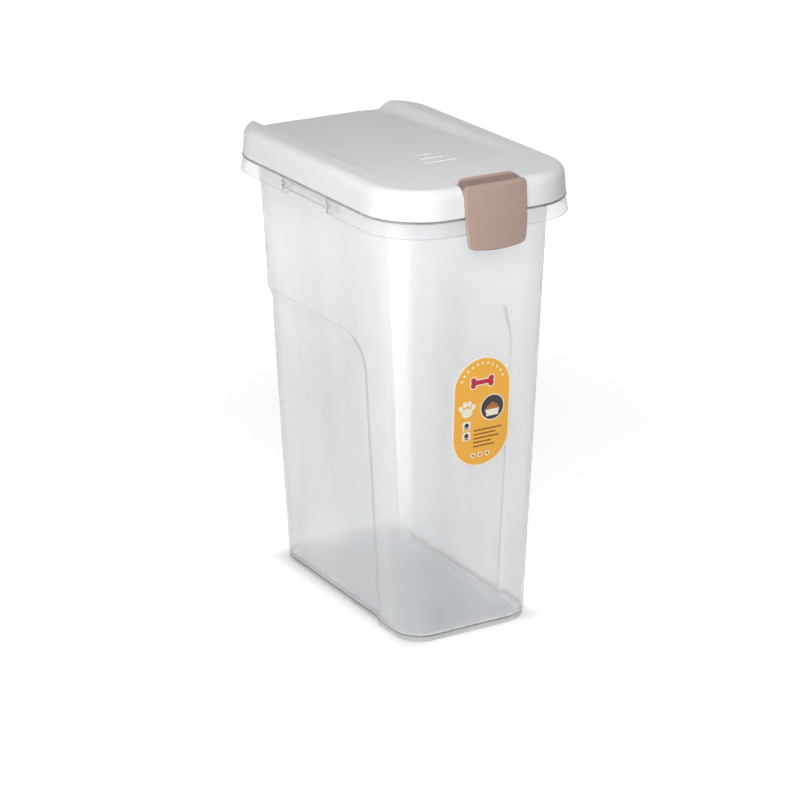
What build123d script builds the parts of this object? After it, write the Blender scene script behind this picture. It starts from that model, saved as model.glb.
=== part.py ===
from build123d import *
import math
import os

# Pet food container: a clear tapered bin, a hinged lid with a dished top, a front clip and a label.
# Millimetres. The origin is the middle of the base on the ground, +Z is up and the clip is at -Y.

# Bin
base_width = 155.5
base_depth = 294.0
base_corner = 32.0
mouth_width = 204.5
mouth_depth = 336.0
mouth_corner = 60.0
bin_height = 470.0
bin_wall = 2.0
floor_rise = 3.0
floor_thickness = 2.5
foot_width = 6.0
foot_draft = 8.0
base_edge_radius = 2.5
inner_edge_radius = 7.0

# Panels pressed into the long sides and the back
panel_depth = 4.0
panel_top = 325.0
panel_shoulder = 14.0
panel_front_in = 68.0
panel_corner = 40.0
panel_edge_slope = 40.0

# Rim with its hanging skirt, and how far it reaches past the mouth
rim_reach_x = 11.5
rim_reach_y = 16.5
rim_corner = 63.0
skirt_height = 17.0
skirt_flare_x = 1.5
skirt_flare_y = 3.0
skirt_wall = 2.0
flange_thickness = 2.4
rim_bead = 1.2

# Carrying grips in the long sides of the skirt
grip_length = 94.0
grip_rod_radius = 3.2
grip_rod_drop = 10.6
grip_rod_proud = 0.4
grip_cheek = 2.6
grip_cheek_drop = 2.0
grip_roof = 4.0

# Lid, and how far it reaches past the rim
lid_gap = 0.6
lid_reach_x = 0.25
lid_reach_y = 1.5
lid_height = 29.8
lid_edge_radius = 11.0
lid_draft = 2.4
lid_wall = 2.4
lid_rib = 1.8
lid_rib_reach = 6.0
lid_rib_clearance = 0.8

# Dish in the lid's top, deepest at the back
dish_depth = 14.0
dish_wing = 22.0
dish_slope = 20.0
dish_front_in = 74.0
dish_brim = 0.3

# Short raised ribs on the lid's top
top_rib_count = 3
top_rib_length = 18.0
top_rib_growth = 11.0
top_rib_width = 3.0
top_rib_pitch = 18.0
top_rib_height = 0.8
top_rib_y = -45.0

# Lid hinge at the back of the rim
hinge_spacing = 116.0
hinge_pin_radius = 2.5
hinge_clearance = 0.08
hinge_out = 6.2
hinge_below = 4.6
hinge_root = 10.0
knuckle_radius = 4.8
knuckle_length = 16.0
knuckle_play = 0.5
knuckle_mouth = 4.0
knuckle_arm = 9.0
lug_thickness = 4.0
lug_radius = 4.6

# Front clip
clip_width = 71.5
clip_foot_width = 65.0
clip_bulge = 0.8
clip_plate = 3.0
clip_cheek = 2.5
clip_proud = 5.3
clip_fold_proud = 1.2
clip_drop = 15.2
clip_foot_sag = 3.0
clip_lean = 3.5
clip_crown = 3.2
clip_back_corner = 15.0
clip_pocket_corner = 4.5
clip_foot_corner = 7.0
clip_head_corner = 12.0
clip_edge_radius = 1.6
clip_brow = 7.0
clip_brow_drop = 2.4
clip_groove = 1.5
clip_groove_ahead = 9.0
clip_ridge_ahead = 1.5
clip_clearance = 0.6
clip_back_play = 1.2
clip_axis_in = 17.5
clip_axis_sink = 2.3
clip_barrel_radius = 5.5
clip_pin_radius = 1.5
clip_pin_clearance = 0.06
clip_pin_length = 6.5
clip_pin_root = 2.0
clip_pin_end_play = 0.3
clip_boss = 5.6
hook_width = 44.0
hook_lip = 2.6
hook_depth = 3.0
hook_edge = 1.0
hook_play = 0.5

# Label on the front wall
label_width = 70.0
label_height = 122.0
label_thickness = 0.3
label_x = 2.5
label_z = 251.0

# Reach of cutters past the part, overlap of joined pieces, and the least step between two faces
past = 60.0
bite = 0.5
sliver = 0.05

rim_width = mouth_width + 2 * rim_reach_x
rim_depth = mouth_depth + 2 * rim_reach_y
lid_width = rim_width + 2 * lid_reach_x
lid_depth = rim_depth + 2 * lid_reach_y
lid_corner = rim_corner + lid_reach_y
rim_top = bin_height
rim_under = rim_top - flange_thickness
skirt_bottom = rim_top - skirt_height
lid_bottom = rim_top + lid_gap
lid_top = lid_bottom + lid_height
floor_top = floor_rise + floor_thickness
panel_front_y = panel_front_in - base_depth / 2
dish_front_y = dish_front_in - lid_depth / 2
hinge_y = rim_depth / 2 + hinge_out
hinge_z = rim_top - hinge_below
rod_z = rim_top - grip_rod_drop
clip_top = lid_top + clip_proud
clip_axis_y = clip_axis_in - lid_depth / 2
clip_axis_z = lid_top - clip_axis_sink
clip_under = clip_axis_z - clip_barrel_radius


def outline(width, depth, corner, z, inset=0.0):
    return Pos(0, 0, z) * RectangleRounded(width - 2 * inset, depth - 2 * inset, corner - inset)


def along_bin(low, high, z):
    return low + (high - low) * z / bin_height


def bin_outline(z, inset):
    width = along_bin(base_width, mouth_width, z)
    depth = along_bin(base_depth, mouth_depth, z)
    corner = along_bin(base_corner, mouth_corner, z)
    return outline(width, depth, corner, z, inset)


def wall_ahead_of_panel(side, inset):
    # The stretch of long wall in front of and above the panel, with a sloped edge and a round corner.
    # Its sketch lies along the tapered wall, x to the front or back and y up the wall.
    lean = (mouth_width - base_width) / 2 / bin_height
    across = Vector(0, side, 0)
    up = Vector(side * lean, 0, 1)
    start = Vector(side * (base_width / 2 - panel_depth - inset - bite), 0, 0)
    plane = Plane(origin=start, x_dir=across, z_dir=across.cross(up))
    front = side * (panel_front_y - inset / 2)
    top = panel_top - inset / 2
    turn = front + side * panel_corner
    far = -side * mouth_depth
    sketch = make_face([
        Line((front, -past), (front, top - panel_corner)),
        RadiusArc((front, top - panel_corner), (turn, top), side * panel_corner),
        Polyline((turn, top), (turn, top + past), (far, top + past), (far, -past), (front, -past)),
    ])
    return extrude(plane * sketch, panel_depth + inset + panel_depth, taper=panel_edge_slope)


def bin_form(inset, low, high, edge_radius):
    # The tapered bin with its panels, drawn in by inset all round
    deep = inset + panel_depth
    plain = loft([bin_outline(low, inset), bin_outline(high, inset)], ruled=True)
    pressed = loft(
        [
            bin_outline(low, deep),
            bin_outline(panel_top - panel_shoulder, deep),
            bin_outline(panel_top, inset),
            bin_outline(high, inset),
        ],
        ruled=True,
    )
    plain = fillet(plain.edges().group_by(Axis.Z)[0], edge_radius)
    pressed = fillet(pressed.edges().group_by(Axis.Z)[0], edge_radius)
    edge = panel_front_y - 3 * panel_depth
    ahead = Pos(0, edge - mouth_depth / 2, 0) * Box(2 * mouth_width, mouth_depth, 3 * bin_height)
    pressed += plain & ahead
    for side in (-1, 1):
        pressed += plain & wall_ahead_of_panel(side, inset)
    return pressed


def skirt_share(z):
    return (rim_top - z) / skirt_height


def skirt_x(z):
    return rim_width / 2 + skirt_flare_x * skirt_share(z)


def skirt_y(z):
    return rim_depth / 2 + skirt_flare_y * skirt_share(z)


def skirt_outline(z, inset):
    return outline(2 * skirt_x(z), 2 * skirt_y(z), rim_corner, z, inset)


def skirt_form(inset, low, high):
    return loft([skirt_outline(low, inset), skirt_outline(high, inset)], ruled=True)


def rim():
    shell = skirt_form(0, skirt_bottom, rim_top) - skirt_form(skirt_wall, skirt_bottom - bite, rim_under)
    bead = extrude(outline(rim_width, rim_depth, rim_corner, rim_top - 2 * rim_bead, -rim_bead), 2 * rim_bead)
    round_edges = bead.edges().group_by(Axis.Z)[0] + bead.edges().group_by(Axis.Z)[-1]
    return shell + fillet(round_edges, rim_bead - sliver)


def grip_window(side):
    # The opening in the skirt beside the rod
    low = skirt_bottom - bite
    tall = rim_top - grip_roof - low
    window = Box(4 * skirt_wall, grip_length, tall, align=(Align.CENTER, Align.CENTER, Align.MIN))
    return Pos(side * skirt_x(rod_z), 0, low) * window


def grip_bar(side):
    # A round rod between two cheeks that tie the skirt to the wall
    rod_x = skirt_x(rod_z) - grip_rod_radius + grip_rod_proud
    at = (grip_length + grip_cheek) / 2
    bar = Pos(side * rod_x, 0, rod_z) * Rot(90, 0, 0) * Cylinder(grip_rod_radius, 2 * at)
    low = skirt_bottom - grip_cheek_drop
    inner = along_bin(base_width, mouth_width, low) / 2 - bin_wall / 2
    outer = rod_x + grip_rod_radius
    cheek = Polyline(
        (side * inner, low),
        (side * (outer - grip_cheek_drop), low),
        (side * outer, low + grip_cheek_drop),
        (side * outer, rim_under + bite),
        (side * inner, rim_under + bite),
        close=True,
    )
    cheek = extrude(Plane.XZ * make_face(cheek), grip_cheek / 2, both=True)
    return bar + Pos(0, at, 0) * cheek + Pos(0, -at, 0) * cheek


def hinge_lugs(x):
    # Two ears through the back of the skirt, up to the flange, and the pin between them
    root = rim_depth / 2 - hinge_root
    back_edge = Polyline((root, hinge_z + lug_radius - bite), (root, skirt_bottom + bite))
    ear = make_hull((Pos(hinge_y, hinge_z) * Circle(lug_radius)).edges() + back_edge.edges())
    ear = extrude(Plane.YZ * ear, lug_thickness)
    gap = knuckle_length / 2 + knuckle_play
    pin = Cylinder(hinge_pin_radius, 2 * gap + lug_thickness)
    pin = Pos(x, hinge_y, hinge_z) * Rot(0, 90, 0) * pin
    return pin + Pos(x + gap, 0, 0) * ear + Pos(x - gap - lug_thickness, 0, 0) * ear


def container_body():
    body = bin_form(0, 0, bin_height, base_edge_radius) + rim()
    for side in (-1, 1):
        body -= grip_window(side)
        body += grip_bar(side)
        body += hinge_lugs(side * hinge_spacing / 2)
    body -= bin_form(bin_wall, floor_top, bin_height + bite, inner_edge_radius)
    hollow = outline(base_width, base_depth, base_corner, -bite, panel_depth + foot_width)
    return body - extrude(hollow, bite + floor_rise, taper=foot_draft)


def above_dish(lower):
    # Everything above the lid's top: level wings, S-shaped slopes and a floor that falls to the back
    crest = lid_top + dish_brim - lower
    edge = lid_width / 2 - dish_wing
    foot = edge - dish_slope
    far = lid_width
    high = lid_top + past
    level = ((1, 0), (1, 0))

    def section(y, depth):
        sketch = make_face([
            Line((-foot, crest - depth), (foot, crest - depth)),
            Spline((foot, crest - depth), (edge, crest), tangents=level),
            Polyline((edge, crest), (far, crest), (far, high), (-far, high), (-far, crest), (-edge, crest)),
            Spline((-edge, crest), (-foot, crest - depth), tangents=level),
        ])
        return Plane((0, y, 0), x_dir=(1, 0, 0), z_dir=(0, -1, 0)) * sketch

    back = lid_depth / 2 + past
    depth = dish_depth * (back - dish_front_y) / (lid_depth / 2 - dish_front_y)
    return loft([section(back, depth), section(dish_front_y, sliver)], ruled=True)


def lid_block(inset, low):
    # The lid's outer form before its dish is cut, drawn in by inset all round
    high = lid_top - inset
    foot = outline(lid_width, lid_depth, lid_corner, low, inset)
    head = outline(lid_width, lid_depth, lid_corner, high, inset + lid_draft)
    block = loft([foot, head], ruled=True)
    return fillet(block.edges().group_by(Axis.Z)[-1], lid_edge_radius - inset)


def lid_form(inset, low):
    return lid_block(inset, low) - above_dish(inset)


def locating_rib():
    # A thin wall under the lid that drops inside the mouth
    low = rim_top - lid_rib_reach
    tall = lid_top - low
    clear = bin_wall + lid_rib_clearance
    outer = extrude(outline(mouth_width, mouth_depth, mouth_corner, low, clear), tall)
    inner = extrude(outline(mouth_width, mouth_depth, mouth_corner, low - bite, clear + lid_rib), tall + past)
    return (outer - inner) & lid_form(lid_wall / 2, low - bite)


def clip_plan(grow, play, corner):
    # The clip's top from above, with round corners at the back
    back = clip_axis_y + clip_barrel_radius + grow + play
    front = -lid_depth / 2 - past
    plate = Pos(0, (back + front) / 2) * Rectangle(clip_width + 2 * grow, back - front)
    return fillet(plate.vertices().group_by(Axis.Y)[-1], corner)


def clip_pocket(grow, low):
    # The pocket in the lid's top that takes the clip, square enough at the back for the clip to turn
    return Pos(0, 0, low) * extrude(clip_plan(grow, clip_back_play, clip_pocket_corner), past)


def clip_pins(radius, length):
    # Stub pins at both ends of the clip's barrel, from inside its round corners outwards
    off = clip_back_corner - clip_barrel_radius
    reach = clip_width / 2 - clip_back_corner + math.sqrt(clip_back_corner**2 - off**2)
    pin = Rot(0, 90, 0) * Cylinder(radius, length + clip_pin_root)
    at = reach + (length - clip_pin_root) / 2
    return [Pos(side * at, clip_axis_y, clip_axis_z) * pin for side in (-1, 1)]


def knuckle(x):
    # A knuckle open below, on an arm from the lid's back edge, that snaps over the hinge pin
    root = lid_depth / 2 - hinge_root
    edge = Polyline((root, lid_bottom + knuckle_arm), (root, lid_bottom))
    arm = make_hull((Pos(hinge_y, hinge_z) * Circle(knuckle_radius)).edges() + edge.edges())
    under = Rectangle(past, past, align=(Align.MAX, Align.MAX))
    arm -= Pos(hinge_y - knuckle_radius + bite, lid_bottom) * under
    arm += Pos(hinge_y, hinge_z) * Circle(knuckle_radius)
    arm -= Pos(hinge_y, hinge_z) * Circle(hinge_pin_radius + hinge_clearance)
    arm -= Pos(hinge_y, hinge_z - knuckle_radius) * Rectangle(knuckle_mouth, 2 * knuckle_radius)
    return Pos(x - knuckle_length / 2, 0, 0) * extrude(Plane.YZ * arm, knuckle_length)


def top_ribs():
    skin = lid_form(-top_rib_height, lid_bottom) - lid_form(lid_wall / 2, lid_bottom - bite)
    bars = []
    for number in range(top_rib_count):
        y = top_rib_y - number * top_rib_pitch
        bar = SlotOverall(top_rib_length + number * top_rib_growth, top_rib_width)
        bars.append(skin & extrude(Pos(0, y, lid_bottom) * bar, lid_height + past))
    return bars


def lid():
    inner = lid_form(lid_wall, lid_bottom - bite)
    inner -= clip_pocket(clip_boss, clip_under - clip_clearance - lid_wall)
    shell = lid_form(0, lid_bottom) - inner
    shell += locating_rib()
    shell -= clip_pocket(clip_clearance, clip_under - clip_clearance)
    for hole in clip_pins(clip_pin_radius + clip_pin_clearance, clip_pin_length + clip_pin_end_play):
        shell -= hole
    for side in (-1, 1):
        shell += knuckle(side * hinge_spacing / 2)
    for rib in top_ribs():
        shell += rib
    return shell


def clip_face_y(z):
    # The clip's front face at its side edges, leaning out to clear the skirt
    foot = skirt_y(skirt_bottom) + clip_clearance + clip_plate
    return -foot + clip_lean * (z - skirt_bottom) / (clip_top - skirt_bottom)


def clip_face_plane():
    lean = clip_lean / (clip_top - skirt_bottom)
    return Plane((0, clip_face_y(skirt_bottom), skirt_bottom), x_dir=(1, 0, 0), z_dir=(0, -1, lean))


def clip_front(shrink):
    # The clip seen from the front, with bulging sides and rounded corners
    head = clip_top - skirt_bottom
    foot = -clip_drop + shrink
    half = clip_width / 2 - shrink
    half_foot = clip_foot_width / 2 - shrink
    right = ThreePointArc((half_foot, foot), (half + clip_bulge, head / 2), (half, head))
    over = Line((half, head), (-half, head))
    left = ThreePointArc((-half, head), (-half - clip_bulge, head / 2), (-half_foot, foot))
    sole = ThreePointArc((-half_foot, foot), (0, foot - clip_foot_sag), (half_foot, foot))
    face = make_face([right, over, left, sole])
    rows = face.vertices().group_by(Axis.Y)
    face = fillet(rows[0], clip_foot_corner - shrink)
    face = fillet(face.vertices().group_by(Axis.Y)[-1], clip_head_corner - shrink)
    upright = Plane((0, clip_face_y(skirt_bottom), skirt_bottom), x_dir=(1, 0, 0), z_dir=(0, -1, 0))
    return extrude(upright * face, past, both=True)


def clip_block():
    # The clip's side view drawn out along X: a soft brow, a thumb groove, a raised ridge and the pivot barrel
    low = skirt_bottom - past
    ahead = clip_face_y(clip_top) - clip_crown
    fold = lid_top + clip_fold_proud
    fall = clip_brow_drop / clip_brow * 2
    turn = clip_barrel_radius * math.sqrt(0.5)
    start = (ahead, fold - clip_brow_drop)
    shoulder = (clip_axis_y + turn, clip_axis_z + turn)
    top = Spline(
        start,
        (ahead + clip_brow, fold),
        (clip_axis_y - clip_groove_ahead, lid_top - clip_groove),
        (clip_axis_y - clip_ridge_ahead, clip_top),
        shoulder,
        tangents=((1, fall), (1, -1)),
    )
    lip = (clip_axis_y + clip_barrel_radius, clip_axis_z)
    barrel = ThreePointArc(shoulder, lip, (clip_axis_y, clip_under))
    front = Polyline(
        (clip_axis_y, clip_under),
        (clip_axis_y, low),
        (ahead - past, low),
        (ahead - past, start[1] - past * fall),
        start,
    )
    return extrude(Plane.YZ * make_face([front, top, barrel]), clip_width, both=True)


def clip_crown_form():
    # A wide cylinder whose front gives the clip's face its crown
    half = clip_width / 2
    radius = (half**2 + clip_crown**2) / (2 * clip_crown)
    face = clip_face_plane()
    centre = face.origin + face.z_dir * (clip_crown - radius)
    return Plane(centre, x_dir=(1, 0, 0), z_dir=face.y_dir) * Cylinder(radius, 4 * past)


def hook():
    # A ledge under the skirt. Its top is an arc about the pivot, so it swings clear of the skirt.
    inner = clip_face_y(skirt_bottom) + clip_plate
    reach = math.hypot(skirt_y(skirt_bottom) + clip_axis_y, clip_axis_z - skirt_bottom) + hook_play
    tip = inner + clip_clearance + hook_lip

    def top(y):
        return clip_axis_z - math.sqrt(reach**2 - (y - clip_axis_y) ** 2)

    root = inner - clip_crown - clip_plate / 2
    low = top(tip) - hook_edge
    side = make_face([
        RadiusArc((root, top(root)), (tip, top(tip)), reach),
        Polyline((tip, top(tip)), (tip, low), (root, low - hook_depth), (root, top(root))),
    ])
    return extrude(Plane.YZ * side, hook_width / 2, both=True)


def clip_hollow():
    # The open space behind the clip's face, between its cheeks and under its top
    face = Pos(0, clip_plate, 0) * clip_crown_form() & clip_front(clip_cheek)
    return face & Pos(0, 0, clip_under - past) * Box(clip_width, 2 * lid_depth, 2 * past)


def front_clip():
    clip = clip_block() & clip_crown_form() & clip_front(0)
    clip &= Pos(0, 0, skirt_bottom - past) * extrude(clip_plan(0, 0, clip_back_corner), 3 * past)
    loop = clip.faces().sort_by(Axis.Y)[0].edges()
    clip = fillet(loop, clip_edge_radius)
    clip -= clip_hollow()
    clip -= lid_block(-clip_clearance, lid_bottom) - clip_pocket(0, clip_under)
    behind = Box(2 * past, 2 * past, 2 * past, align=(Align.CENTER, Align.MIN, Align.MAX))
    clip -= Pos(0, -skirt_y(skirt_bottom) - clip_clearance, lid_bottom + clip_clearance) * behind
    clip += hook() & clip_crown_form()
    for pin in clip_pins(clip_pin_radius, clip_pin_length):
        clip += pin
    return clip


def front_label():
    lean = (mouth_depth - base_depth) / 2 / bin_height
    y = -along_bin(base_depth, mouth_depth, label_z) / 2
    wall = Plane((label_x, y, label_z), x_dir=(1, 0, 0), z_dir=(0, -1, -lean))
    return extrude(wall * Rot(0, 0, 90) * SlotOverall(label_height, label_width), label_thickness)


if __name__ == "__main__":
    os.makedirs("parts", exist_ok=True)
    nodes = {
        "container_body": container_body(),
        "lid": lid(),
        "front_clip": front_clip(),
        "front_label": front_label(),
    }
    for name, shape in nodes.items():
        export_step(shape, f"parts/{name}.step")
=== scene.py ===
import math
import bpy
import bmesh
from mathutils import Matrix, Vector


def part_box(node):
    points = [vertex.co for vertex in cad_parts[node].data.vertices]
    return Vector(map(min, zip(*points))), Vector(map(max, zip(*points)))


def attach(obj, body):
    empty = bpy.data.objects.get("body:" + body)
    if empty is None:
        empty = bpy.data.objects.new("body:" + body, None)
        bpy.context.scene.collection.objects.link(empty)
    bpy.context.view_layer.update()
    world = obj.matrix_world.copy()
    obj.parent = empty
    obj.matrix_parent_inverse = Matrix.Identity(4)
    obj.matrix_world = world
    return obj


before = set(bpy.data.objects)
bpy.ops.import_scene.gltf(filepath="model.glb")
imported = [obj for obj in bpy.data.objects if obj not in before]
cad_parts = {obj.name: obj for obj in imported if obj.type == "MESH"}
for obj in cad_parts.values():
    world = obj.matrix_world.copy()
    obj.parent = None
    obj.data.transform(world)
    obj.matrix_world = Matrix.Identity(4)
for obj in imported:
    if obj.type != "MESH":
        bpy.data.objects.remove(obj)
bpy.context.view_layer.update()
mm = 0.001

# Camera at the photograph's angle

cameraSetup = {
    "azimuth": -30.39,      # degrees, 0 looks along +Y
    "elevation": 19.91,
    "roll": -0.21,
    "distance": 3.1,        # metres to the target
    "target": (-0.0008, 0.001, 0.2148),
    "focalPixels": 2883.4,  # for the frame below
    "framePixels": 800,
    "sensor": 36.0,
}


def placeCamera(setup):
    a = math.radians(setup["azimuth"])
    e = math.radians(setup["elevation"])
    r = math.radians(setup["roll"])
    back = Vector((math.sin(a) * math.cos(e), -math.cos(a) * math.cos(e), math.sin(e)))
    right = Vector((math.cos(a), math.sin(a), 0))
    up = back.cross(right)
    tiltedRight = right * math.cos(r) + up * math.sin(r)
    tiltedUp = up * math.cos(r) - right * math.sin(r)
    data = bpy.data.cameras.new("camera")
    data.sensor_width = setup["sensor"]
    data.lens = setup["focalPixels"] * setup["sensor"] / setup["framePixels"]
    camera = bpy.data.objects.new("camera", data)
    turn = Matrix((tiltedRight, tiltedUp, back)).transposed().to_4x4()
    place = Vector(setup["target"]) + back * setup["distance"]
    camera.matrix_world = Matrix.Translation(place) @ turn
    bpy.context.scene.collection.objects.link(camera)
    bpy.context.scene.camera = camera


placeCamera(cameraSetup)
print("camera placed")

# Colour and node helpers


def hexColour(code):
    # sRGB hex to linear
    parts = [int(code[i:i + 2], 16) / 255 for i in (1, 3, 5)]
    linear = [p / 12.92 if p <= 0.04045 else ((p + 0.055) / 1.055) ** 2.4 for p in parts]
    return (*linear, 1.0)


def addNode(tree, kind, settings=None, links=None):
    # settings: a socket's number or name, or a property of the node
    # links: input to (node, output)
    node = tree.nodes.new(kind)
    for key, value in (settings or {}).items():
        if isinstance(key, str) and hasattr(node, key):
            setattr(node, key, value)
        else:
            node.inputs[key].default_value = value
    for key, (source, output) in (links or {}).items():
        tree.links.new(source.outputs[output], node.inputs[key])
    return node


def newMaterial(name):
    material = bpy.data.materials.new(name)
    material.use_nodes = True
    material.node_tree.nodes.clear()
    return material, material.node_tree


def giveMaterial(piece, material):
    piece.data.materials.clear()
    piece.data.materials.append(material)


def noiseField(tree, place, perMetre, detail, turn=0.0):
    # Noise on Object coordinates, with its cell size set along each axis in cells per metre
    spread = addNode(tree, "ShaderNodeMapping", {
        "Scale": perMetre, "Rotation": (0, 0, math.radians(turn))}, {"Vector": (place, "Object")})
    return addNode(tree, "ShaderNodeTexNoise", {
        "Scale": 1.0, "Detail": detail}, {"Vector": (spread, "Vector")})


def stretched(tree, source, output, fromRange, toRange):
    return addNode(tree, "ShaderNodeMapRange", {
        "From Min": fromRange[0], "From Max": fromRange[1],
        "To Min": toRange[0], "To Max": toRange[1]}, {"Value": (source, output)})


def multiplied(tree, first, second):
    # Colours multiplied; each is either a colour or a (node, output)
    settings = {"data_type": "RGBA", "blend_type": "MULTIPLY", 0: 1.0}
    links = {}
    for socket, value in ((6, first), (7, second)):
        if isinstance(value[0], bpy.types.Node):
            links[socket] = value
        else:
            settings[socket] = value
    return addNode(tree, "ShaderNodeMix", settings, links)


def scuffs(tree, place, look):
    # Hairline handling marks: long thin noise in two directions, of which only the crests count
    marks = None
    for turn in look["scuffTurns"]:
        line = noiseField(tree, place, look["scuffCells"], look["scuffDetail"], turn)
        crest = stretched(tree, line, "Fac", look["scuffCrest"], (0.0, 1.0))
        if marks is None:
            marks = crest
            continue
        marks = addNode(tree, "ShaderNodeMath", {"operation": "MAXIMUM"},
                        {0: (marks, 0), 1: (crest, 0)})
    return marks


def scuffedRough(tree, place, look, smooth):
    # The roughness of the clean plastic, raised where it is scuffed
    return addNode(tree, "ShaderNodeMath", {"operation": "MULTIPLY_ADD", 1: look["scuffRough"]},
                   {0: (scuffs(tree, place, look), 0), 2: (smooth, "Result")})


def bumped(tree, field, strength, height):
    return addNode(tree, "ShaderNodeBump", {"Strength": strength, "Distance": height},
                   {"Height": (field, "Fac")})


# Clear polypropylene, injection moulded: see-through, with a faint milky haze that flows up
# the walls, a soft gloss and fine scuffs from handling

clearLook = {
    "tints": ("#EBECED", "#F5F5F6"),    # in the haze and beside it
    "clearness": 0.86,
    "ior": 1.49,
    "roughRange": (0.05, 0.11),
    "flowCells": (14, 14, 3),       # haze streaks about 70 mm wide and 330 mm tall
    "flowDetail": 3.0,
    "hazeSpan": (0.3, 0.7),         # part of the noise that the roughness follows
    "tintSpan": (0.35, 0.65),       # part of the noise that the tint follows
    "waveCells": (22, 22, 6),       # slow waviness of the wall, about 45 mm across
    "waveDetail": 1.0,
    "waveHeight": 0.0004,
    "waveStrength": 0.3,
    "scuffCells": (900, 14, 14),    # hairlines about 1 mm wide and 70 mm long
    "scuffDetail": 1.0,
    "scuffTurns": (35, -50),
    "scuffCrest": (0.70, 0.78),
    "scuffRough": 0.1,
    "shadowTint": "#EEF0F1",
}


def clearPolypropylene():
    look = clearLook
    material, tree = newMaterial("clearPolypropyleneMoulded")
    place = addNode(tree, "ShaderNodeTexCoord")
    flow = noiseField(tree, place, look["flowCells"], look["flowDetail"])
    haze = stretched(tree, flow, "Fac", look["hazeSpan"], look["roughRange"])
    rough = scuffedRough(tree, place, look, haze)
    depth = stretched(tree, flow, "Fac", look["tintSpan"], (0.0, 1.0))
    hazy, plain = (hexColour(tint) for tint in look["tints"])
    tint = addNode(tree, "ShaderNodeMix", {"data_type": "RGBA", 6: hazy, 7: plain},
                   {0: (depth, "Result")})
    waves = noiseField(tree, place, look["waveCells"], look["waveDetail"])
    bump = bumped(tree, waves, look["waveStrength"], look["waveHeight"])
    plastic = addNode(tree, "ShaderNodeBsdfPrincipled", {
        "IOR": look["ior"],
        "Transmission Weight": look["clearness"],
    }, {"Base Color": (tint, 2), "Roughness": (rough, "Value"), "Normal": (bump, "Normal")})
    lampPath = addNode(tree, "ShaderNodeBsdfTransparent", {"Color": hexColour(look["shadowTint"])})
    path = addNode(tree, "ShaderNodeLightPath")
    mix = addNode(tree, "ShaderNodeMixShader", None, {
        0: (path, "Is Shadow Ray"), 1: (plastic, "BSDF"), 2: (lampPath, "BSDF")})
    addNode(tree, "ShaderNodeOutputMaterial", None, {"Surface": (mix, "Shader")})
    return material


# White and taupe polypropylene, injection moulded: opaque, satin from a finely eroded tool,
# with slight flow marks and scuffs; the taupe has a painted shade in the groove across the clip's
# top

solidLook = {
    "white": {"colour": "#E9EAEB", "rough": (0.30, 0.42), "grainHeight": 0.00004},
    "taupe": {"colour": "#B0978C", "rough": (0.28, 0.38), "grainHeight": 0.00006,
              # painted shade in the groove across the top: its middle and half its size, across
              # and up
              "grooveShade": {"middle": (-0.1768, 0.5008), "half": (0.0085, 0.0046),
                        "edge": (0.7, 1.1), "shade": 0.58}},
    "grainCells": (1400, 1400, 1400),   # tool texture of about 0.7 mm, as fine as the render shows
    "grainDetail": 2.0,
    "grainStrength": 0.5,
    "flowCells": (18, 9, 30),
    "flowDetail": 3.0,
    "flowSpan": (0.3, 0.7),             # part of the noise that counts
    "flowShade": 0.03,
    "scuffCells": (1100, 20, 20),
    "scuffDetail": 1.0,
    "scuffTurns": (20, -65),
    "scuffCrest": (0.70, 0.78),
    "scuffRough": 0.12,
}


def paintedGrooveShade(tree, place, grooveShade):
    # 1 elsewhere and darker in a band along X, a painted shade in the groove, around a middle
    # given across and up
    across = addNode(tree, "ShaderNodeMapping", {
        "vector_type": "TEXTURE", "Location": (0, *grooveShade["middle"]), "Scale": (1, *grooveShade["half"])},
        {"Vector": (place, "Object")})
    flat = addNode(tree, "ShaderNodeVectorMath", {"operation": "MULTIPLY", 1: (0, 1, 1)},
                   {0: (across, "Vector")})
    away = addNode(tree, "ShaderNodeVectorMath", {"operation": "LENGTH"}, {0: (flat, "Vector")})
    band = stretched(tree, away, "Value", grooveShade["edge"], (grooveShade["shade"], 1.0))
    band.interpolation_type = "SMOOTHSTEP"
    return band


def solidPolypropylene(name, kind):
    look = solidLook
    own = look[kind]
    material, tree = newMaterial(name)
    place = addNode(tree, "ShaderNodeTexCoord")
    flow = noiseField(tree, place, look["flowCells"], look["flowDetail"])
    shade = stretched(tree, flow, "Fac", look["flowSpan"], (1.0 - look["flowShade"], 1.0))
    colour = multiplied(tree, hexColour(own["colour"]), (shade, "Result"))
    # painted shade darkens the groove across the clip's top
    if "grooveShade" in own:
        band = paintedGrooveShade(tree, place, own["grooveShade"])
        colour = multiplied(tree, (colour, 2), (band, "Result"))
    satin = stretched(tree, flow, "Fac", look["flowSpan"], own["rough"])
    rough = scuffedRough(tree, place, look, satin)
    grain = noiseField(tree, place, look["grainCells"], look["grainDetail"])
    bump = bumped(tree, grain, look["grainStrength"], own["grainHeight"])
    plastic = addNode(tree, "ShaderNodeBsdfPrincipled", None, {
        "Base Color": (colour, 2), "Roughness": (rough, "Value"), "Normal": (bump, "Normal")})
    addNode(tree, "ShaderNodeOutputMaterial", None, {"Surface": (plastic, "BSDF")})
    return material


# Label film: printed polypropylene film, smooth with a low gloss, its ink very slightly mottled

inks = {
    "cream": "#FFF6E6",
    "orange": "#FFBA42",
    "red": "#C4243C",
    "brown": "#8A5326",
    "charcoal": "#3B3536",
    "kibble": "#B9763C",
}
filmLook = {
    "roughness": 0.28,
    "mottleCells": (900, 900, 900),
    "mottleDetail": 2.0,
    "mottleSpan": (0.3, 0.7),       # part of the noise that counts
    "mottle": 0.05,
    "ripple": 0.00002,
    "rippleStrength": 0.3,
}


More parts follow.
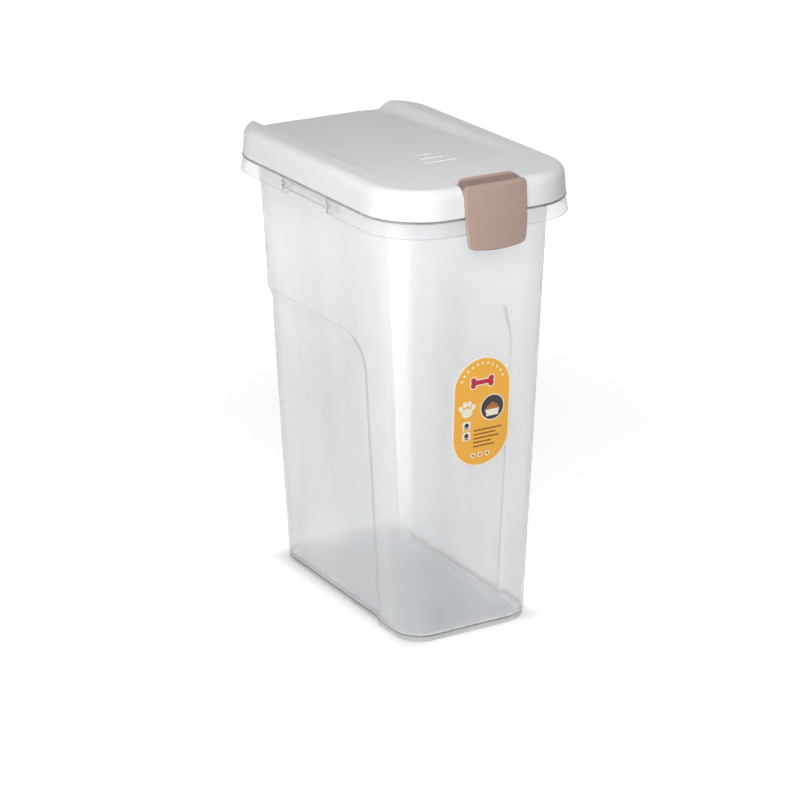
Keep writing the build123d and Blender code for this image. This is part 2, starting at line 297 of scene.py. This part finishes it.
def printedFilm(ink):
    look = filmLook
    material, tree = newMaterial("printedFilm" + ink.capitalize())
    place = addNode(tree, "ShaderNodeTexCoord")
    dots = noiseField(tree, place, look["mottleCells"], look["mottleDetail"])
    shade = stretched(tree, dots, "Fac", look["mottleSpan"], (1.0 - look["mottle"], 1.0))
    colour = multiplied(tree, hexColour(inks[ink]), (shade, "Result"))
    bump = bumped(tree, dots, look["rippleStrength"], look["ripple"])
    film = addNode(tree, "ShaderNodeBsdfPrincipled", {"Roughness": look["roughness"]},
                   {"Base Color": (colour, 2), "Normal": (bump, "Normal")})
    addNode(tree, "ShaderNodeOutputMaterial", None, {"Surface": (film, "BSDF")})
    return material


giveMaterial(bpy.data.objects["container_body"], clearPolypropylene())
giveMaterial(bpy.data.objects["lid"], solidPolypropylene("whitePolypropyleneMoulded", "white"))
giveMaterial(bpy.data.objects["front_clip"],
             solidPolypropylene("taupePolypropyleneMoulded", "taupe"))
films = {ink: printedFilm(ink) for ink in inks}
giveMaterial(bpy.data.objects["front_label"], films["cream"])
print("materials given")

# Label print: flat pieces of ink on the film, each a little above the one under it.
# Places are across and up the label from its middle, in millimetres.

labelPrint = {
    "lean": 0.0447,                 # the front wall leans out by this much of its height
    "skin": 0.15,                   # from the film's middle to its face
    "inkStep": 0.04,                # height of a layer of ink
    "overlap": 0.12,                # how far overlapping shapes stand above each other, in layers
    "roundSegments": 32,
    "field": {"size": (65.4, 117.4), "corner": 32.6, "segments": 24},
    "dotArc": {"count": 11, "radius": 26.5, "from": 158, "to": 22, "middle": (0, 27),
               "size": 1.5, "squash": 0.8},
    "bone": {"at": (0, 33), "length": 21, "shaft": 5.0, "knob": 3.3, "knobLift": 0.8,
             "edge": 1.1},
    "plate": {"at": (13.0, 3.0), "radius": 14.5, "rim": 1.1},
    "bowl": {"at": (13.0, -2.2), "width": 13.0, "height": 6.4, "flare": 1.32,
             "foot": (15.0, 1.5), "footCorner": 0.45},
    "heap": {"at": (13.0, 2.2), "rows": (5, 4, 2), "pitch": 3.1, "rowPitch": 0.72,
             "size": 1.75, "squash": 0.85, "turns": (40, 25)},
    "paw": {"at": (-17.5, 4.0), "pad": (6.6, 5.2), "padDrop": 2.6, "toe": 2.5, "toeStretch": 1.35,
            # each toe's place from the paw's middle and its turn
            "toes": ((-7.4, 3.0, 20), (-2.7, 7.0, 6), (2.7, 7.0, -6), (7.4, 3.0, -20))},
    "tiles": {"at": (-17.5, -13.0), "size": 9.5, "corner": 1.0, "pitch": 11.5, "count": 2,
              "dot": 2.6, "dotLift": 0.6, "line": (6.0, 0.9), "lineDrop": 3.1},
    "bars": {"at": (8.0, -20.0), "pitch": 4.4, "thick": 1.5, "corner": 0.45,
             "lengths": (34, 27, 31, 22, 26)},
    "biscuits": {"at": (0.0, -47.5), "pitch": 8.5, "radius": 2.7, "middle": 0.55, "count": 3},
}


def labelPlane():
    # From across, up and out of the label to the object's own axes
    low, high = (Vector(corner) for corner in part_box("front_label"))
    lean = math.atan(labelPrint["lean"])
    across = Vector((1, 0, 0))
    up = Vector((0, -math.sin(lean), math.cos(lean)))
    out = across.cross(up)
    turn = Matrix((across, up, out)).transposed().to_4x4()
    return Matrix.Translation((low + high) / 2 + out * (labelPrint["skin"] * mm)) @ turn


def inkPlate(shape, at, size, corner, layer, segments=8):
    # A flat box with rounded corners
    made = bmesh.ops.create_cube(shape, size=1.0)
    step = labelPrint["inkStep"]
    bmesh.ops.scale(shape, vec=(size[0], size[1], step), verts=made["verts"])
    bmesh.ops.translate(shape, vec=(at[0], at[1], (layer + 0.5) * step), verts=made["verts"])
    upright = [e for e in {e for v in made["verts"] for e in v.link_edges}
               if abs(e.verts[0].co.z - e.verts[1].co.z) > step / 2]
    if corner:
        bmesh.ops.bevel(shape, geom=upright, offset=corner, affect="EDGES", segments=segments,
                        profile=0.5, material=-1, clamp_overlap=True)
    return made["verts"]


def inkDisc(shape, at, radius, layer, squash=1.0, turn=0.0):
    step = labelPrint["inkStep"]
    place = Matrix.Translation((at[0], at[1], (layer + 0.5) * step))
    place = place @ Matrix.Rotation(math.radians(turn), 4, "Z")
    place = place @ Matrix.Diagonal((1, squash, 1, 1))
    bmesh.ops.create_cone(shape, cap_ends=True, segments=labelPrint["roundSegments"],
                          radius1=radius, radius2=radius, depth=step, matrix=place)


def inkPiece(name, ink, draw):
    shape = bmesh.new()
    draw(shape)
    bmesh.ops.transform(shape, matrix=labelPlane() @ Matrix.Scale(mm, 4), verts=shape.verts)
    bmesh.ops.recalc_face_normals(shape, faces=shape.faces)
    mesh = bpy.data.meshes.new(name)
    shape.to_mesh(mesh)
    shape.free()
    piece = bpy.data.objects.new(name, mesh)
    bpy.context.scene.collection.objects.link(piece)
    giveMaterial(piece, films[ink])
    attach(piece, "container")


def drawField(shape):
    field = labelPrint["field"]
    inkPlate(shape, (0, 0), field["size"], field["corner"], 0, field["segments"])


def drawDotArc(shape):
    arc = labelPrint["dotArc"]
    x, y = arc["middle"]
    for i in range(arc["count"]):
        a = math.radians(arc["from"] + (arc["to"] - arc["from"]) * i / (arc["count"] - 1))
        at = (x + arc["radius"] * math.cos(a), y + arc["radius"] * math.sin(a))
        inkDisc(shape, at, arc["size"], 1, arc["squash"], math.degrees(a))


def drawBone(shape, grow, layer):
    bone = labelPrint["bone"]
    x, y = bone["at"]
    half = bone["length"] / 2
    inkPlate(shape, (x, y), (bone["length"], bone["shaft"] + 2 * grow), 0, layer)
    for number, (side, lift) in enumerate(((-1, -1), (-1, 1), (1, -1), (1, 1))):
        at = (x + side * half, y + lift * bone["knob"] * bone["knobLift"])
        over = labelPrint["overlap"] * (1 + number % 2)
        inkDisc(shape, at, bone["knob"] + grow, layer + over)


def drawPlate(shape):
    inkDisc(shape, labelPrint["plate"]["at"], labelPrint["plate"]["radius"], 1)


def drawPlateField(shape):
    plate = labelPrint["plate"]
    inkDisc(shape, plate["at"], plate["radius"] - plate["rim"], 2)


def drawBowl(shape):
    bowl = labelPrint["bowl"]
    x, y = bowl["at"]
    for vert in inkPlate(shape, (x, y), (bowl["width"], bowl["height"]), 0, 4):
        if vert.co.y > y:
            vert.co.x = x + (vert.co.x - x) * bowl["flare"]
    inkPlate(shape, (x, y - bowl["height"] / 2), bowl["foot"],
             bowl["foot"][1] * bowl["footCorner"], 4 + labelPrint["overlap"])


def drawHeap(shape):
    heap = labelPrint["heap"]
    x, y = heap["at"]
    alongTurn, rowTurn = heap["turns"]
    for row, count in enumerate(heap["rows"]):
        for i in range(count):
            at = (x + (i - (count - 1) / 2) * heap["pitch"],
                  y + row * heap["pitch"] * heap["rowPitch"])
            over = labelPrint["overlap"] * (2 * row + i % 2)
            inkDisc(shape, at, heap["size"], 3 + over, heap["squash"],
                    alongTurn * i + rowTurn * row)


def drawPaw(shape):
    paw = labelPrint["paw"]
    x, y = paw["at"]
    wide, tall = paw["pad"]
    inkDisc(shape, (x, y - paw["padDrop"]), wide, 1, tall / wide)
    for across, up, turn in paw["toes"]:
        inkDisc(shape, (x + across, y + up), paw["toe"], 1, paw["toeStretch"], turn)


def tilePlaces():
    tiles = labelPrint["tiles"]
    x, y = tiles["at"]
    return [(x, y - i * tiles["pitch"]) for i in range(tiles["count"])]


def drawTiles(shape):
    tiles = labelPrint["tiles"]
    for at in tilePlaces():
        inkPlate(shape, at, (tiles["size"], tiles["size"]), tiles["corner"], 1)


def drawTileMarks(shape):
    tiles = labelPrint["tiles"]
    for x, y in tilePlaces():
        inkDisc(shape, (x, y + tiles["dotLift"]), tiles["dot"], 2)
        inkPlate(shape, (x, y - tiles["lineDrop"]), tiles["line"], 0, 2)


def drawBars(shape):
    bars = labelPrint["bars"]
    left = bars["at"][0] - max(bars["lengths"]) / 2
    for i, length in enumerate(bars["lengths"]):
        at = (left + length / 2, bars["at"][1] - i * bars["pitch"])
        inkPlate(shape, at, (length, bars["thick"]), bars["thick"] * bars["corner"], 1)


def drawBiscuits(shape, shrink, layer):
    biscuits = labelPrint["biscuits"]
    x, y = biscuits["at"]
    for i in range(biscuits["count"]):
        at = (x + (i - (biscuits["count"] - 1) / 2) * biscuits["pitch"], y)
        inkDisc(shape, at, biscuits["radius"] * shrink, layer)


inkPiece("labelField", "orange", drawField)
inkPiece("labelDotArc", "cream", drawDotArc)
inkPiece("labelBoneEdge", "cream", lambda shape: drawBone(shape, labelPrint["bone"]["edge"], 1))
inkPiece("labelBone", "red", lambda shape: drawBone(shape, 0, 2))
inkPiece("labelPlate", "cream", drawPlate)
inkPiece("labelPlateField", "charcoal", drawPlateField)
inkPiece("labelHeap", "kibble", drawHeap)
inkPiece("labelBowl", "cream", drawBowl)
inkPiece("labelPaw", "cream", drawPaw)
inkPiece("labelTiles", "cream", drawTiles)
inkPiece("labelTileMarks", "charcoal", drawTileMarks)
inkPiece("labelBars", "brown", drawBars)
inkPiece("labelBiscuits", "cream", lambda shape: drawBiscuits(shape, 1.0, 1))
inkPiece("labelBiscuitMiddles", "kibble",
         lambda shape: drawBiscuits(shape, labelPrint["biscuits"]["middle"], 2))
print("label printed")

# Studio: a white floor that keeps the shadow and has a painted shadow under the object, a white
# surround and soft lamps

studio = {
    "floorColour": "#D2D2D2",
    "floorGlow": (0.0, 0.64, 0.98),     # under the object, beside it and far from it
    "foot": (0.083, 0.148),             # half the ground that the object stands on
    "footCorner": 0.03,                 # how softly the glow turns that ground's corners
    "footShade": (-0.030, 0.022),       # where the glow's rise starts and ends, past its edge
    "farGlow": (0.45, 1.4),             # where the glow's further rise starts and ends
    "floorSize": 12.0,
    "ambient": 0.12,
    "mirrored": 0.7,                    # how bright the surround stands in reflections
    "lamps": {
        # soft boxes before the front left corner, to the left and behind, which no reflection
        # shows, and a low card that only reflections show
        "keyBox": {"at": (-0.58, -1.07, 1.21), "aim": (0, 0, 0.35), "size": (0.6, 0.6),
                   "power": 17.5},
        "leftBox": {"at": (-1.15, -0.05, 0.45), "aim": (0, 0, 0.4), "size": (0.8, 0.8),
                    "power": 5.0},
        "rearBox": {"at": (0.75, 1.35, 0.55), "aim": (0, 0, 0.6), "size": (1.0, 0.8),
                    "power": 5.5},
        "cornerCard": {"at": (-0.225, -0.200, 0.23), "aim": (-0.09, -0.155, 0.23),
                       "size": (0.17, 0.40), "power": 0.70, "mirrored": True,
                       # parts of its height and width, from dim to bright
                       "fade": {"low": (-0.05, 0.30), "side": (0.98, 0.58), "least": 0.2}},
    },
    # a small far lamp overhead, behind to the right, whose light falls straight
    "topLamp": {"from": (0.068, 0.094, 0.5), "angle": 8.0, "strength": 0.22},
}


def seenRays(tree):
    # 1 for rays that see the surround straight or through a clear wall, less for mirrored ones
    path = addNode(tree, "ShaderNodeLightPath")
    glossy = addNode(tree, "ShaderNodeMath", {"operation": "MULTIPLY", 1: studio["mirrored"]},
                     {0: (path, "Is Glossy Ray")})
    straight = addNode(tree, "ShaderNodeMath", {"operation": "MAXIMUM"},
                       {0: (path, "Is Camera Ray"), 1: (path, "Is Transmission Ray")})
    return addNode(tree, "ShaderNodeMath", {"operation": "MAXIMUM"},
                   {0: (straight, "Value"), 1: (glossy, "Value")})


def whiteFloor():
    # Matt white, with a glow that rises past the ground that the object stands on; without glow
    # there, that ground is a painted shadow
    material, tree = newMaterial("whiteFloor")
    matt = addNode(tree, "ShaderNodeBsdfDiffuse", {"Color": hexColour(studio["floorColour"])})
    under, beside, far = studio["floorGlow"]
    place = addNode(tree, "ShaderNodeTexCoord")
    folded = addNode(tree, "ShaderNodeVectorMath", {"operation": "ABSOLUTE"},
                     {0: (place, "Object")})
    past = addNode(tree, "ShaderNodeVectorMath", {
        "operation": "SUBTRACT", 1: (*studio["foot"], 0)}, {0: (folded, "Vector")})
    sides = addNode(tree, "ShaderNodeSeparateXYZ", None, {0: (past, "Vector")})
    edge = addNode(tree, "ShaderNodeMath", {"operation": "SMOOTH_MAX", 2: studio["footCorner"]},
                   {0: (sides, "X"), 1: (sides, "Y")})
    # no glow under the object, rising past its edge: a painted shadow under it, seen through its
    # clear walls and floor
    close = stretched(tree, edge, "Value", studio["footShade"], (under, beside))
    close.interpolation_type = "SMOOTHSTEP"
    wide = stretched(tree, edge, "Value", studio["farGlow"], (0.0, far - beside))
    rise = addNode(tree, "ShaderNodeMath", {"operation": "ADD"},
                   {0: (close, "Result"), 1: (wide, "Result")})
    level = addNode(tree, "ShaderNodeMath", {"operation": "MULTIPLY"},
                    {0: (seenRays(tree), "Value"), 1: (rise, "Value")})
    glow = addNode(tree, "ShaderNodeEmission", None, {"Strength": (level, "Value")})
    both = addNode(tree, "ShaderNodeAddShader", None, {0: (matt, "BSDF"), 1: (glow, "Emission")})
    addNode(tree, "ShaderNodeOutputMaterial", None, {"Surface": (both, "Shader")})
    return material


def makeFloor():
    mesh = bpy.data.meshes.new("studioFloor")
    shape = bmesh.new()
    bmesh.ops.create_grid(shape, x_segments=1, y_segments=1, size=studio["floorSize"])
    shape.to_mesh(mesh)
    shape.free()
    floor = bpy.data.objects.new("studioFloor", mesh)
    bpy.context.scene.collection.objects.link(floor)
    giveMaterial(floor, whiteFloor())


def makeSurround():
    world = bpy.data.worlds.new("studioSurround")
    world.use_nodes = True
    tree = world.node_tree
    tree.nodes.clear()
    white = hexColour("#FFFFFF")
    light = addNode(tree, "ShaderNodeBackground", {0: white, "Strength": studio["ambient"]})
    seen = addNode(tree, "ShaderNodeBackground", {0: white, "Strength": 1.0})
    mix = addNode(tree, "ShaderNodeMixShader", None, {
        0: (seenRays(tree), "Value"), 1: (light, "Background"), 2: (seen, "Background")})
    addNode(tree, "ShaderNodeOutputWorld", None, {"Surface": (mix, "Shader")})
    bpy.context.scene.world = world


def fadeLamp(data, fade):
    # Dims a card towards its lower edge and one upright edge
    data.use_nodes = True
    tree = data.node_tree
    tree.nodes.clear()
    spot = addNode(tree, "ShaderNodeNewGeometry")
    sides = addNode(tree, "ShaderNodeSeparateXYZ", None, {0: (spot, "Parametric")})
    low = stretched(tree, sides, "Y", fade["low"], (fade["least"], 1.0))
    side = stretched(tree, sides, "X", fade["side"], (fade["least"], 1.0))
    low.interpolation_type = side.interpolation_type = "SMOOTHSTEP"
    level = addNode(tree, "ShaderNodeMath", {"operation": "MULTIPLY"},
                    {0: (low, "Result"), 1: (side, "Result")})
    glow = addNode(tree, "ShaderNodeEmission", None, {"Strength": (level, "Value")})
    addNode(tree, "ShaderNodeOutputLight", None, {"Surface": (glow, "Emission")})


def makeLamps():
    for name, lamp in studio["lamps"].items():
        data = bpy.data.lights.new(name, "AREA")
        data.shape = "RECTANGLE"
        data.size, data.size_y = lamp["size"]
        data.energy = lamp["power"]
        if "fade" in lamp:
            fadeLamp(data, lamp["fade"])
        box = bpy.data.objects.new(name, data)
        box.location = lamp["at"]
        toward = Vector(lamp["aim"]) - Vector(lamp["at"])
        box.rotation_euler = toward.to_track_quat("-Z", "Y").to_euler()
        box.visible_camera = False
        box.visible_glossy = lamp.get("mirrored", False)
        box.visible_diffuse = not box.visible_glossy
        box.visible_transmission = False
        bpy.context.scene.collection.objects.link(box)
    topLamp = studio["topLamp"]
    sun = bpy.data.lights.new("topLamp", "SUN")
    sun.energy = topLamp["strength"]
    sun.angle = math.radians(topLamp["angle"])
    top = bpy.data.objects.new("topLamp", sun)
    top.rotation_euler = Vector(topLamp["from"]).to_track_quat("Z", "Y").to_euler()
    bpy.context.scene.collection.objects.link(top)


makeFloor()
makeSurround()
makeLamps()
bpy.context.scene.view_settings.view_transform = "Standard"
print("studio ready")
